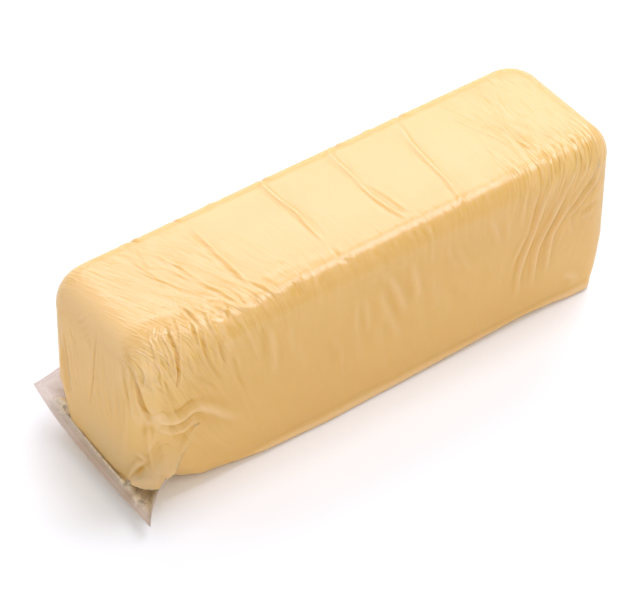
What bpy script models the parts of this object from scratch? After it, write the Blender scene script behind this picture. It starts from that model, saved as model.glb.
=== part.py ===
"""A loaf of low-moisture mozzarella in its clear shrink bag, as one closed solid.

The long axis is X with the sealed end of the bag at -X, and the loaf rests on its flat base at z = 0.
The origin is the middle of that base.  The loaf is a plan outline carried up a side profile; the folds of
the drawn-down film are relief on its walls; the flattened bag end and its two ears are a thin flange that
a Boolean joins to the loaf.  Sizes below are millimetres and become metres where the meshes are made.
"""

import bmesh
import bpy
import numpy as np

MM = 0.001

# The loaf.
LENGTH = 280.0
WIDTH = 82.0
HEIGHT = 92.5
CORNER_R = 17.5  # upright corners, seen from above
TOP_EDGE_X = (-140.0, -118.0, 105.0, 140.0)  # the edge between walls and top: its radius along the length
TOP_EDGE_R = (16.0, 12.7, 12.7, 13.2)
TOP_CROWN = 0.6
SEALED_LOW_R = 26.0  # upright corners at the base, at the sealed end, where the film draws the cheese in
FAR_LOW_R = 6.0  # and at the far end, where the film's folded corners stay sharp
LOW_RISE = 34.0  # height over which those corners turn into plain ones
FAR_LEAN = 11.5  # how far the far end is drawn in at the base
FAR_LEAN_RISE = 30.0

# The edge round the base: its radius at places along the length.
BASE_EDGE_X = (-140.0, -112.0, -98.0, -86.0, -72.0, -45.0, 0.0, 40.0, 90.0, 116.0, 127.0, 140.0)
BASE_EDGE_R = (20.0, 18.5, 11.5, 6.0, 2.8, 1.5, 1.6, 3.4, 5.4, 3.6, 1.5, 2.5)

# The lip where the film is drawn flat along the foot of each long wall.
LIP_HEIGHT = 5.0
LIP_OUT = 0.9
LIP_GROOVE = 0.7
LIP_GROOVE_ABOVE = 3.2

# The flattened end of the bag: its seal runs between two corners, and an ear climbs each long wall.
SEAL_FAR = (-141.2, 52.3, 12.0)
SEAL_NEAR = (-146.2, -54.6, 7.6)
SEAL_PULLS = ((-145.6, 22.0, 8.4), (-146.6, -20.0, 7.7))
EAR_TOP = (-101.0, 39.0, 48.0)  # where an ear dies into its wall, for the far side
EAR_LOW_PULL = (-139.0, 48.0, 16.5)
EAR_HIGH_PULL = (-123.0, 43.0, 23.5)
ROOT_TOP = (-100.0, 35.5, 47.0)  # the flange's hidden root, inside the cheese
ROOT_LOW = (-126.0, 27.0, 25.0)
FLANGE_THICK = 0.9
FLANGE_DROOP = 1.0  # how far the flange sags between its root and its rim
FLANGE_ROWS = 3
EAR_COLUMNS = 9
SEAL_COLUMNS = 14

# Numbers of cells round a quarter of the plan outline and up the profile.
END_CELLS = 7
CORNER_CELLS = 7
SIDE_CELLS = 42
BASE_EDGE_ROWS = 3
WALL_ROWS = 22
TOP_EDGE_ROWS = 5
TOP_ROWS = 8
SPINE_REACH = 0.9  # how far the innermost ring goes from the edge to the spine, as a share

# Folds of the film: the points a crest passes, its half width and its height.
FOLDS = (
    # Long folds that sweep from the top edge down the near wall at the far end.
    (((81, -38, 89), (80, -41, 80), (79, -41, 66), (76, -41, 50)), 3.0, 0.5),
    (((91, -38, 88), (85, -41, 76), (80, -41, 58), (72, -41, 38)), 3.0, 0.8),
    (((99, -39, 87), (93, -41, 72), (84, -41, 52), (78, -41, 35), (77, -41, 14)), 3.2, 1.1),
    (((110, -37, 89), (102, -41, 74), (94, -41, 58), (89, -41, 40), (88, -41, 14)), 3.2, 1.0),
    (((130, -38, 86), (118, -41, 69), (104, -41, 58), (98, -41, 40), (97, -41, 16)), 3.2, 1.1),
    (((133, -37, 66), (121, -41, 62), (113, -41, 56)), 3.0, 0.6),
    (((132, -38, 50), (117, -41, 46), (108, -41, 43)), 3.0, 0.6),
    # The slack that runs back along the near wall from the ear.
    (((-131, -39, 60), (-122, -41, 54), (-112, -41, 54), (-96, -41, 46), (-78, -41, 32)), 4.2, 1.6),
    (((-133, -37, 48), (-123, -41, 43), (-112, -41, 43)), 3.2, 0.8),
    # Folds that hang from the near top edge at the sealed end.
    (((-122, -26, 92), (-127, -38, 86), (-125, -41, 72), (-118, -41, 60)), 3.0, 1.0),
    (((-113, -24, 93), (-117, -38, 87), (-119, -41, 76), (-117, -41, 66)), 3.0, 0.9),
    (((-104, -20, 93), (-107, -38, 88), (-106, -41, 76), (-99, -41, 62)), 3.0, 1.1),
    (((-98, -24, 93), (-100, -38, 88), (-96, -41, 74), (-87, -41, 56)), 3.0, 1.0),
    (((-86, -20, 93), (-92, -38, 87), (-88, -41, 72), (-78, -41, 44)), 3.0, 1.0),
    (((-76, -30, 92), (-79, -40, 84), (-76, -41, 72)), 3.0, 0.6),
    (((-66, -41, 78), (-64, -41, 62), (-62, -41, 46)), 3.0, 0.5),
    # The corner between the sealed end and the near wall.
    (((-132, -16, 91), (-136, -28, 86), (-136, -34, 72), (-134, -36, 50), (-131, -38, 34)), 3.0, 1.2),
    (((-138, -14, 88), (-140, -24, 80), (-140, -27, 66), (-139, -28, 46)), 3.0, 0.9),
    # The sealed end face.
    (((-136, 0, 89), (-140, -3, 78), (-140, -1, 60), (-140, 2, 40)), 2.8, 0.6),
    (((-136, 22, 88), (-140, 21, 64), (-140, 18, 34)), 2.8, 0.5),
    # Soft folds down the middle of the near wall.
    (((-20, -41, 72), (-15, -41, 45)), 3.4, 0.45),
    (((-5, -41, 71), (5, -41, 42)), 3.4, 0.45),
    (((13, -41, 80), (19, -41, 52)), 3.4, 0.4),
    (((27, -38, 88), (25, -41, 76), (30, -41, 50)), 3.2, 0.5),
    (((38, -41, 76), (52, -41, 50)), 3.4, 0.45),
    (((56, -41, 82), (67, -41, 54)), 3.4, 0.4),
    # Bands across the top.
    (((-24, 34, 92), (-24, 10, 93), (-24, -10, 93), (-23, -33, 92)), 2.8, 0.8),
    (((21, 34, 92), (16, 12, 93), (15, -8, 93), (24, -32, 92)), 2.8, 0.8),
    (((57, 30, 92), (54, 6, 93), (51, -18, 93), (47, -35, 91)), 2.8, 0.5),
    (((-68, 32, 92), (-70, 1, 93), (-68, -22, 93)), 2.8, 0.4),
    # Fans on the top at its two ends.
    (((-92, 26, 93), (-88, 10, 93), (-84, -8, 93)), 2.8, 0.4),
    (((-110, 16, 93), (-102, -3, 93), (-86, -20, 93)), 2.8, 0.5),
    (((-118, 0, 93), (-108, -12, 93), (-100, -22, 93)), 2.8, 0.5),
    (((102, 30, 93), (103, 6, 93), (99, -22, 93)), 2.8, 0.5),
    (((115, 24, 93), (105, 4, 93), (100, -16, 93)), 2.8, 0.4),
)
ROUTE_SAMPLES = 48
FOLD_END_SHARE = 0.22  # how much of a fold's length it takes to rise and to die away

CHEESE_COLOUR = (0.86, 0.64, 0.33, 1.0)
FILM_ROUGHNESS = 0.28


def smooth_step(low, high, value):
    """0 below low, 1 above high, and the cubic 3t^2 - 2t^3 between them."""
    t = np.clip((value - low) / (high - low), 0.0, 1.0)
    return t * t * (3.0 - 2.0 * t)


def plan_outline(corner_sealed, corner_far):
    """Points of a rounded rectangle and their outward normals, from the middle of the far end
    anticlockwise.  The rectangle's corners at the two ends have radii of their own."""
    quarter = []
    half_length, half_width = LENGTH / 2, WIDTH / 2
    for radius in (corner_far, corner_sealed):
        turn = np.linspace(0.0, np.pi / 2, CORNER_CELLS + 1)
        end_y = np.linspace(0.0, half_width - radius, END_CELLS + 1)[:-1]
        end = np.column_stack([0 * end_y + half_length, end_y, 0 * end_y + 1.0, 0 * end_y])
        arc = np.column_stack([
            half_length - radius + radius * np.cos(turn),
            half_width - radius + radius * np.sin(turn),
            np.cos(turn),
            np.sin(turn),
        ])
        side_x = np.linspace(half_length - radius, 0.0, SIDE_CELLS + 1)[1:]
        side = np.column_stack([side_x, 0 * side_x + half_width, 0 * side_x, 0 * side_x + 1.0])
        quarter.append(np.vstack([end, arc, side]))
    far, sealed = quarter
    sealed = sealed[::-1][1:] * (-1, 1, -1, 1)
    upper = np.vstack([far, sealed])
    lower = upper[1:-1][::-1] * (1, -1, 1, -1)
    ring = np.vstack([upper, lower])
    return ring[:, :2], ring[:, 2:]


def low_outline(height):
    """The plan outline at that height: near the base its corners have radii of their own."""
    low = 1.0 - smooth_step(0.0, LOW_RISE, height)
    return plan_outline(CORNER_R + (SEALED_LOW_R - CORNER_R) * low, CORNER_R + (FAR_LOW_R - CORNER_R) * low)


def to_spine(edge, share):
    """The ring edge moved that share of the way to the loaf's middle line."""
    half = LENGTH / 2 - WIDTH / 2
    spine = np.column_stack([np.clip(edge[:, 0], -half, half), 0 * edge[:, 0], edge[:, 2]])
    return edge + (spine - edge) * share


def loaf_rings():
    """Rings of points from the middle of the base, out, up the walls and in to the middle of the top.

    Each ring is the plan outline, moved in along its normals by the profile's inset at that height.
    The far end leans in towards the base."""
    rings = []
    foot, foot_normals = low_outline(0.0)
    radius = np.interp(foot[:, 0], BASE_EDGE_X, BASE_EDGE_R)

    def base_ring(turn):
        flat = foot - foot_normals * (radius * (1.0 - np.sin(turn)))[:, None]
        return np.column_stack([flat, radius * (1.0 - np.cos(turn))])

    for share in (SPINE_REACH, 0.5):
        rings.append(to_spine(base_ring(0.0), share))
    for turn in np.linspace(0.0, np.pi / 2, BASE_EDGE_ROWS + 1):
        rings.append(base_ring(turn))
    points, normals = plan_outline(CORNER_R, CORNER_R)
    top_radius = np.interp(points[:, 0], TOP_EDGE_X, TOP_EDGE_R)
    for share in np.linspace(0.0, 1.0, WALL_ROWS + 1)[1:]:
        height = radius + (HEIGHT - top_radius - radius) * share
        wall, _ = low_outline(float(height.mean()))
        rings.append(np.column_stack([wall, height]))
    for turn in np.linspace(0.0, np.pi / 2, TOP_EDGE_ROWS + 1)[1:]:
        flat = points - normals * (top_radius * (1.0 - np.cos(turn)))[:, None]
        rings.append(np.column_stack([flat, HEIGHT - top_radius * (1.0 - np.sin(turn))]))
    edge = rings[-1]
    for share in np.linspace(0.0, SPINE_REACH, TOP_ROWS + 1)[1:]:
        rings.append(to_spine(edge, share) + (0.0, 0.0, TOP_CROWN * np.sin(share * np.pi / 2)))
    rings = np.array(rings)
    lean = FAR_LEAN * np.clip(1.0 - rings[..., 2] / FAR_LEAN_RISE, 0.0, 1.0) ** 1.4
    rings[..., 0] -= lean * smooth_step(70.0, LENGTH / 2 - CORNER_R, rings[..., 0])
    return rings


def ring_normals(rings):
    """Outward unit normals from the differences to the neighbouring rings and points."""
    along = np.roll(rings, -1, axis=1) - np.roll(rings, 1, axis=1)
    up = np.gradient(rings, axis=0)
    normals = np.cross(along, up)
    return normals / np.maximum(np.linalg.norm(normals, axis=2, keepdims=True), 1e-9)


def route(points):
    """A smooth curve through the points, by Catmull-Rom spans between them."""
    points = np.asarray(points, float)
    padded = np.vstack([2 * points[0] - points[1], points, 2 * points[-1] - points[-2]])
    spans = len(points) - 1
    place = np.linspace(0.0, spans, ROUTE_SAMPLES)
    first = np.minimum(place.astype(int), spans - 1)
    t = (place - first)[:, None]
    a, b, c, d = (padded[first + k] for k in range(4))
    return 0.5 * (2 * b + (c - a) * t + (2 * a - 5 * b + 4 * c - d) * t**2 + (3 * b - a - 3 * c + d) * t**3)


def relief_height(points, normals):
    """Height of the folds and the lip at each point: a bell across each crest, with ends that die away,
    and along the foot of the long walls a low swelling with a groove above it."""
    relief = np.zeros(len(points))
    for passed, width, height in FOLDS:
        crest = route(passed)
        gaps = np.linalg.norm(points[:, None, :] - crest[None, :, :], axis=2)
        along = gaps.argmin(axis=1) / (ROUTE_SAMPLES - 1)
        ends = smooth_step(0.0, FOLD_END_SHARE, along) * smooth_step(0.0, FOLD_END_SHARE, 1.0 - along)
        relief += height * ends * np.exp(-((gaps.min(axis=1) / width) ** 2))
    z = points[:, 2]
    lip = LIP_OUT * np.exp(-(((z - LIP_HEIGHT / 2) / LIP_HEIGHT) ** 2))
    groove = LIP_GROOVE * np.exp(-(((z - LIP_HEIGHT - LIP_GROOVE_ABOVE) / LIP_GROOVE_ABOVE) ** 2))
    on_long_wall = np.abs(normals[:, 1]) ** 4 * smooth_step(-95.0, -70.0, points[:, 0])
    relief += (lip - groove) * on_long_wall
    return relief * smooth_step(0.0, 1.5, z)


def mesh_object(name, points, faces):
    """An object with that mesh, given in millimetres, shaded smooth, with its faces made consistent."""
    mesh = bpy.data.meshes.new(name)
    mesh.from_pydata((np.asarray(points) * MM).tolist(), [], faces)
    shaped = bmesh.new()
    shaped.from_mesh(mesh)
    bmesh.ops.recalc_face_normals(shaped, faces=shaped.faces)
    shaped.to_mesh(mesh)
    shaped.free()
    mesh.shade_smooth()
    made = bpy.data.objects.new(name, mesh)
    bpy.context.collection.objects.link(made)
    return made


def make_loaf():
    """The bagged loaf: quads between the rings, one face in the middle of the base, and across the middle
    of the top a strip of quads with a face at each of its ends."""
    rings = loaf_rings()
    rows, around = rings.shape[:2]
    plain, normals = rings.reshape(-1, 3), ring_normals(rings).reshape(-1, 3)
    points = plain + normals * relief_height(plain, normals)[:, None]

    def index(row, column):
        return row * around + column % around

    faces = [
        (index(r, c), index(r, c + 1), index(r + 1, c + 1), index(r + 1, c))
        for r in range(rows - 1)
        for c in range(around)
    ]
    faces.append([index(0, c) for c in range(around)])
    end = END_CELLS + CORNER_CELLS
    half = around // 2
    for middle in (0, half):
        faces.append([index(rows - 1, middle + c + around) for c in range(-end, end + 1)])
    for c in range(end, half - end):
        faces.append([index(rows - 1, k) for k in (c, c + 1, around - c - 1, around - c)])
    return mesh_object("sealed_loaf", points, faces)


def bezier(ends, pulls, shares):
    """A cubic Bezier curve from one end to the other."""
    t = shares[:, None]
    (start, finish), (first, second) = (np.asarray(ends, float), np.asarray(pulls, float))
    return (
        start * (1 - t) ** 3 + 3 * first * t * (1 - t) ** 2 + 3 * second * t * t * (1 - t) + finish * t**3
    )


def mirrored(point):
    """The same place on the near side."""
    return (point[0], -point[1], point[2])


def make_flange():
    """The flattened bag end: a sheet between a hidden root in the cheese and the free rim of the bag.

    The rim climbs down one ear, runs along the seal and climbs the other ear, and the sheet sags a
    little between root and rim."""
    ear = np.linspace(0.0, 1.0, EAR_COLUMNS + 1)
    seal = np.linspace(0.0, 1.0, SEAL_COLUMNS + 1)[1:-1]
    far_rim = bezier((EAR_TOP, SEAL_FAR), (EAR_HIGH_PULL, EAR_LOW_PULL), ear)
    near_rim = bezier((SEAL_NEAR, mirrored(EAR_TOP)), (mirrored(EAR_LOW_PULL), mirrored(EAR_HIGH_PULL)), ear)
    seal_rim = bezier((SEAL_FAR, SEAL_NEAR), SEAL_PULLS, seal)
    rim = np.vstack([far_rim, seal_rim, near_rim])
    corners = [np.asarray(p, float) for p in (ROOT_TOP, ROOT_LOW, mirrored(ROOT_LOW), mirrored(ROOT_TOP))]
    shares = (ear, seal, ear)
    root = np.vstack([a + (b - a) * t[:, None] for a, b, t in zip(corners, corners[1:], shares)])
    across = np.linspace(0.0, 1.0, FLANGE_ROWS + 1)[:, None, None]
    sheet = root + (rim - root) * across
    sheet[..., 2] -= FLANGE_DROOP * np.sin(across[..., 0] * np.pi)
    columns = len(rim)
    faces = [
        (r * columns + c, r * columns + c + 1, (r + 1) * columns + c + 1, (r + 1) * columns + c)
        for r in range(FLANGE_ROWS)
        for c in range(columns - 1)
    ]
    flange = mesh_object("bag_end_guide", sheet.reshape(-1, 3), faces)
    thick = flange.modifiers.new("Thickness", "SOLIDIFY")
    thick.thickness = FLANGE_THICK * MM
    thick.offset = 0.0
    flange.hide_render = True
    flange.display_type = "WIRE"
    return flange


def cheese_material():
    """Pale yellow cheese under a clear, slightly glossy film."""
    material = bpy.data.materials.new("filmed_cheese")
    material.use_nodes = True
    shader = material.node_tree.nodes["Principled BSDF"]
    shader.inputs["Base Color"].default_value = CHEESE_COLOUR
    shader.inputs["Roughness"].default_value = FILM_ROUGHNESS
    shader.inputs["Metallic"].default_value = 0.0
    return material


def main():
    for old in list(bpy.data.objects):
        bpy.data.objects.remove(old)
    loaf = make_loaf()
    loaf.data.materials.append(cheese_material())
    join = loaf.modifiers.new("Bag end", "BOOLEAN")
    join.operation = "UNION"
    join.solver = "EXACT"
    join.object = make_flange()


main()
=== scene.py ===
"""A loaf of low-moisture mozzarella in its clear shrink bag: the cheese, the film drawn down on it, and the
flattened, sealed end of the bag with its two ears.

Shapes are worked out in millimetres, with +X along the loaf away from the sealed end, -Y the shown long wall
and z = 0 the surface it rests on, and become metres as they go into their meshes.
"""

import bpy
import numpy as np
from mathutils import Matrix, Vector


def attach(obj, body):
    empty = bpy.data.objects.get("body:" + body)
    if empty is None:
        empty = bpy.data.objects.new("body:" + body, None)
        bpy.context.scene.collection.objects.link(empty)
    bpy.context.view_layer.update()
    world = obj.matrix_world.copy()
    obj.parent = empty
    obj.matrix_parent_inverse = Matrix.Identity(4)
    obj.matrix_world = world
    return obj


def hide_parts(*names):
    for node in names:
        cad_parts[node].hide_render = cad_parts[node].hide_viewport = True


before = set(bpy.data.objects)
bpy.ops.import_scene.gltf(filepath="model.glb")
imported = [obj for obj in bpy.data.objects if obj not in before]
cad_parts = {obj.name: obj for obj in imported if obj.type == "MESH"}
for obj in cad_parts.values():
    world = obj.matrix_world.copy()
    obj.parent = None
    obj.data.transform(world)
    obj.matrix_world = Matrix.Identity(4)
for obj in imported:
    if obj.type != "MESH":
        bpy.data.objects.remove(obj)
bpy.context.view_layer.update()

MM = 0.001

# ---------------------------------------------------------------- the loaf's form, as in the solid
LENGTH, WIDTH, HEIGHT = 280.0, 82.0, 92.5
CORNER_R = 17.5
TOP_EDGE_X = (-140.0, -118.0, 105.0, 140.0)
TOP_EDGE_R = (16.0, 12.7, 12.7, 13.2)
TOP_CROWN = 0.6
SEALED_LOW_R, FAR_LOW_R, LOW_RISE = 26.0, 4.0, 34.0
FAR_LEAN, FAR_LEAN_X, FAR_LEAN_RISE, FAR_LEAN_POWER = 13.3, 70.0, 30.0, 1.4
BASE_EDGE_X = (
    -140.0, -135.0, -128.0, -120.0, -112.0, -105.0, -101.0, -86.0, -72.0, -45.0, 0.0, 40.0, 90.0, 116.0,
    127.0, 140.0)
BASE_EDGE_R = (12.0, 16.0, 23.0, 25.5, 19.0, 13.2, 12.6, 7.0, 3.5, 2.0, 1.6, 3.4, 5.4, 3.6, 1.5, 2.5)
FOOT_IN_X = (-104.0, -90.0, -72.0, -50.0, -36.0, -5.0, 30.0, 74.0, 101.0, 125.0)
FOOT_IN = (0.0, 0.7, 1.3, 1.1, 0.6, 1.5, 1.8, 2.4, 2.1, 1.2)
FOOT_IN_RISE = 24.0  # below this height the long walls draw in towards the foot
LIP_HEIGHT, LIP_OUT, LIP_GROOVE, LIP_GROOVE_ABOVE = 4.6, 1.2, 0.8, 1.7
LIP_FROM = (-95.0, -70.0)  # the lip starts between these

# ---------------------------------------------------------------- the flattened bag end
SEAL_FAR = (-141.2, 52.3, 12.0)
SEAL_NEAR = (-146.2, -54.6, 7.6)
SEAL_PULLS = ((-145.6, 22.0, 8.4), (-146.6, -20.0, 7.7))
EAR_TOP = (-101.0, 39.0, 48.0)
EAR_LOW_PULL = (-139.0, 48.0, 16.5)
EAR_HIGH_PULL = (-123.0, 43.0, 23.5)
ROOT = ((-100.0, 35.5, 47.0), (-126.0, 27.0, 20.0), (-126.0, -27.0, 7.0), (-100.0, -35.5, 47.0))

# The folded edge of the near ear, from the long wall down to the corner of the seal, and how far the cheese
# fills that ear and the far one.
EAR_EDGE = (
    (-108.0, -41.0, 44.0), (-112.0, -41.5, 40.6), (-116.3, -42.2, 34.7), (-121.3, -43.2, 28.8),
    (-125.7, -44.4, 21.9), (-130.0, -45.4, 20.0), (-134.9, -46.6, 18.5), (-138.1, -48.4, 16.8),
    (-140.9, -50.2, 15.4), (-143.9, -52.5, 12.3), SEAL_NEAR,
)
NEAR_FILLED = EAR_EDGE[:7]
FAR_FILLED = (
    (-108.0, 41.0, 44.0), (-113.0, 41.2, 37.0), (-118.0, 41.4, 30.0), (-122.0, 41.4, 23.0),
    (-126.0, 41.0, 17.0),
)
EAR_HIGH, EAR_LOW = 44.0, 9.0  # heights on the plain corner that go to the ends of a filled edge
PULLED_COLUMNS = 230  # columns beside the middle of the sealed end that an ear may pull on
EAR_SAMPLES, EVENED_ROWS = 200, 5
# An ear's pull: how far it reaches at its top, how much farther at its foot, and the power it falls off by.
REACH_ON_END, REACH_ON_WALL = (9.0, 21.0, 1.5), (2.2, 2.0, 1.2)


def smooth_step(low, high, value):
    """0 below low, 1 above high, and the cubic 3t^2 - 2t^3 between them."""
    t = np.clip((value - low) / (high - low), 0.0, 1.0)
    return t * t * (3.0 - 2.0 * t)


def bell(value, middle, width):
    """exp(-((value - middle) / width)^2)."""
    return np.exp(-(((value - middle) / width) ** 2))


def new_object(name, data):
    """An object of that data at the origin, in the scene."""
    made = bpy.data.objects.new(name, data)
    bpy.context.collection.objects.link(made)
    return made


def keep_value(mesh, name, value):
    """A value for each point of a mesh, kept with it for its material."""
    kept = mesh.attributes.new(name, "FLOAT", "POINT")
    kept.data.foreach_set("value", value.astype(np.float32).reshape(-1))


# ---------------------------------------------------------------- the drawn-down skin
FAR_CELLS, SEALED_CELLS = (24, 54), (40, 72)  # cells in half an end and in its corner
SIDE_STOPS = (0.0, 0.235, 0.745, 0.888, 1.0)  # shares of a long wall that part its stretches
SIDE_CELLS = (96, 108, 56, 64)  # cells in each stretch
BASE_ROWS, BASE_EDGE_ROWS, WALL_ROWS, TOP_EDGE_ROWS, TOP_ROWS = 3, 11, 50, 15, 13
WALL_CROWDING = 1.12  # rows of the walls are closer together at the foot
SPINE_REACH = 0.985


def side_shares():
    """Shares of a long wall's length from the far end, closer together where folds crowd."""
    runs = [np.linspace(a, b, n + 1)[1:] for a, b, n in zip(SIDE_STOPS, SIDE_STOPS[1:], SIDE_CELLS)]
    return np.concatenate(runs)


def plan_outline(far_radius, sealed_radius):
    """A rounded rectangle, as points and outward normals, for each row of the two corner radii.

    It runs anticlockwise from the middle of the far end: half the end, a quarter circle, the wall, a
    quarter circle and half the sealed end, and the same mirrored in y."""
    half_l, half_w = LENGTH / 2, WIDTH / 2
    far, sealed = (np.reshape(r, (-1, 1)).astype(float) for r in (far_radius, sealed_radius))
    turn, back = (np.linspace(0.0, np.pi / 2, cells[1] + 1)[None, :] for cells in (FAR_CELLS, SEALED_CELLS))
    back = back + np.pi / 2
    out = np.linspace(0.0, 1.0, FAR_CELLS[0] + 1)[None, :-1]
    inward = 1.0 - np.linspace(0.0, 1.0, SEALED_CELLS[0] + 1)[None, 1:]
    run = (half_l - far) + ((sealed - half_l) - (half_l - far)) * side_shares()[None, :-1]

    def corner(middle, radius, angle):
        """The quarter circle round that middle."""
        over, beside = np.cos(angle), np.sin(angle)
        return middle + radius * over, half_w - radius + radius * beside, over, beside

    parts = (
        (half_l, (half_w - far) * out, 1.0, 0.0),
        corner(half_l - far, far, turn),
        (run, half_w, 0.0, 1.0),
        corner(sealed - half_l, sealed, back),
        (-half_l, (half_w - sealed) * inward, -1.0, 0.0),
    )
    upper = np.concatenate([np.stack(np.broadcast_arrays(*part), axis=2) for part in parts], axis=1)
    lower = upper[:, 1:-1][:, ::-1] * (1, -1, 1, -1)
    ring = np.concatenate([upper, lower], axis=1)
    return ring[..., :2], ring[..., 2:]


def low_outline(height):
    """The plan outline at each height: near the base its corners have radii of their own."""
    low = 1.0 - smooth_step(0.0, LOW_RISE, height)
    return plan_outline(CORNER_R + (FAR_LOW_R - CORNER_R) * low, CORNER_R + (SEALED_LOW_R - CORNER_R) * low)


def to_spine(edge, shares):
    """Rings between the ring edge and the loaf's middle line, at those shares of the way."""
    half = LENGTH / 2 - WIDTH / 2
    spine = np.stack([np.clip(edge[:, 0], -half, half), 0 * edge[:, 0], edge[:, 2]], axis=1)
    return edge[None] + (spine - edge)[None] * shares[:, None, None]


def plain_skin():
    """The loaf without folds: row by row the base, its rounded edge, the walls, the rounded top edge and
    the top, as an array of rows x columns x (x, y, z). The rounded edges are quarter circles; low down the
    far end leans in, and the long walls draw in by FOOT_IN times (1 - z / FOOT_IN_RISE)^2."""
    foot = low_outline(np.zeros(1))[0][0]
    radius = np.interp(foot[:, 0], BASE_EDGE_X, BASE_EDGE_R)
    turn = np.linspace(0.0, np.pi / 2, BASE_EDGE_ROWS + 1)[:, None]
    rise = radius * (1.0 - np.cos(turn))
    low, low_normals = low_outline(rise.mean(axis=1))
    flat = low - low_normals * (radius * (1.0 - np.sin(turn)))[..., None]
    base_edge = np.concatenate([flat, rise[..., None]], axis=2)
    base = to_spine(base_edge[0], np.linspace(SPINE_REACH, 0.0, BASE_ROWS + 1)[:-1])

    top_flat, top_normals = (a[0] for a in plan_outline(np.full(1, CORNER_R), np.full(1, CORNER_R)))
    top_radius = np.interp(top_flat[:, 0], TOP_EDGE_X, TOP_EDGE_R)
    share = np.linspace(0.0, 1.0, WALL_ROWS + 1)[1:, None] ** WALL_CROWDING
    height = radius + (HEIGHT - top_radius - radius) * share
    wall = np.concatenate([low_outline(height.mean(axis=1))[0], height[..., None]], axis=2)

    turn = np.linspace(0.0, np.pi / 2, TOP_EDGE_ROWS + 1)[1:, None]
    flat = top_flat[None] - top_normals[None] * (top_radius * (1.0 - np.cos(turn)))[..., None]
    top_edge = np.concatenate([flat, (HEIGHT - top_radius * (1.0 - np.sin(turn)))[..., None]], axis=2)
    shares = np.linspace(0.0, SPINE_REACH, TOP_ROWS + 1)[1:]
    top = to_spine(top_edge[-1], shares)
    top[..., 2] += TOP_CROWN * np.sin(shares * np.pi / 2)[:, None]

    skin = np.concatenate([base, base_edge, wall, top_edge, top])
    lean = FAR_LEAN * np.clip(1.0 - skin[..., 2] / FAR_LEAN_RISE, 0.0, 1.0) ** FAR_LEAN_POWER
    skin[..., 0] -= lean * smooth_step(FAR_LEAN_X, LENGTH / 2 - CORNER_R, skin[..., 0])
    low_down = np.clip(1.0 - skin[..., 2] / FOOT_IN_RISE, 0.0, 1.0) ** 2
    inward = np.interp(skin[..., 0], FOOT_IN_X, FOOT_IN) * low_down
    skin[..., 1] -= inward * np.clip(skin[..., 1] / (WIDTH / 2), -1.0, 1.0)
    return skin


def outward(skin):
    """Unit normals of the skin, from the differences to the neighbouring rows and columns."""
    along = np.roll(skin, -1, axis=1) - np.roll(skin, 1, axis=1)
    up = np.gradient(skin, axis=0)
    normals = np.cross(along, up)
    return normals / np.maximum(np.linalg.norm(normals, axis=2, keepdims=True), 1e-9)


def pull_corner(skin, edge, side):
    """One corner at the sealed end pulled out to the folded edge of its ear.

    Each row has one point that goes to the edge, the one nearest to it in plan. The points beside it
    follow by (1 - d/reach)^power of that pull, with a wide reach on the end face and a narrow one on the
    long wall, so the film hangs like a tent on one side and drops sharply on the other."""
    around = skin.shape[1]
    columns = np.arange(around // 2 - PULLED_COLUMNS, around // 2 + 1)
    columns = columns if side > 0 else (around - columns) % around
    part = skin[:, columns]
    corner = len(columns) - SEALED_CELLS[0] - SEALED_CELLS[1] // 2
    height = part[:, corner, 2]
    share = np.clip((EAR_HIGH - height) / (EAR_HIGH - EAR_LOW), 0.0, 1.0)
    target = route(edge, EAR_SAMPLES + 1)[np.round(share * EAR_SAMPLES).astype(int)]
    steps = np.linalg.norm(np.diff(part[..., :2], axis=1), axis=2)
    arc = np.concatenate([np.zeros((len(part), 1)), np.cumsum(steps, axis=1)], axis=1)
    nearest = np.linalg.norm(part[..., :2] - target[:, None, :2], axis=2).argmin(axis=1).astype(float)
    padded = np.pad(nearest, EVENED_ROWS // 2, mode="edge")
    nearest = np.convolve(padded, np.ones(EVENED_ROWS) / EVENED_ROWS, mode="valid")
    low = np.floor(nearest).astype(int)
    rows, between = np.arange(len(part)), (nearest - low)[:, None]
    start = part[rows, low] * (1 - between) + part[rows, low + 1] * between
    middle = arc[rows, low] * (1 - between[:, 0]) + arc[rows, low + 1] * between[:, 0]
    is_wall = (np.arange(len(skin)) > BASE_ROWS).astype(float)
    strength = smooth_step(0.0, 0.06, share) * smooth_step(0.3, EAR_LOW, height) * is_wall
    pull = (target - start) * strength[:, None]
    away = arc - middle[:, None]

    def falling_off(distance, least, more, power):
        """What is left of the pull at that distance."""
        return np.clip(1.0 - distance / (least + more * share)[:, None], 0.0, 1.0) ** power

    left = np.where(away > 0, falling_off(away, *REACH_ON_END), falling_off(-away, *REACH_ON_WALL))
    moved = skin.copy()
    moved[:, columns] = part + pull[:, None, :] * left[..., None]
    return moved


SOFT_CORNER_AT, SOFT_CORNER_OUT = (-120.0, -25.5, 92.5), (-0.25, -0.6, 0.76)
SOFT_CORNER_BAND, SOFT_CORNER_SHARE = 6.0, 0.9


def soften_corner(skin):
    """The shown top corner at the sealed end, rounded off more broadly than the edges beside it.

    With t the distance past a slanting plane, a point goes back by a share of t, and by that share of
    (t + band)^2 / (4 band) within a band on either side of the plane."""
    past = (skin - SOFT_CORNER_AT) @ SOFT_CORNER_OUT
    rounded = np.clip(past + SOFT_CORNER_BAND, 0.0, None) ** 2 / (4.0 * SOFT_CORNER_BAND)
    back = np.where(past > SOFT_CORNER_BAND, past, rounded) * SOFT_CORNER_SHARE
    return skin - back[..., None] * SOFT_CORNER_OUT


# ---------------------------------------------------------------- folds
ROUTE_SAMPLES, FAN_SAMPLES = 56, 40
FOLD_REACH = 4.5  # half widths beside its crest within which a fold is worked out
BEND = 0.22  # share of a fold's length over which it rises and dies away
GROOVE_AWAY, GROOVE_WIDTH = 1.7, 1.1  # a groove's distance and half width, in half widths of its fold


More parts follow.
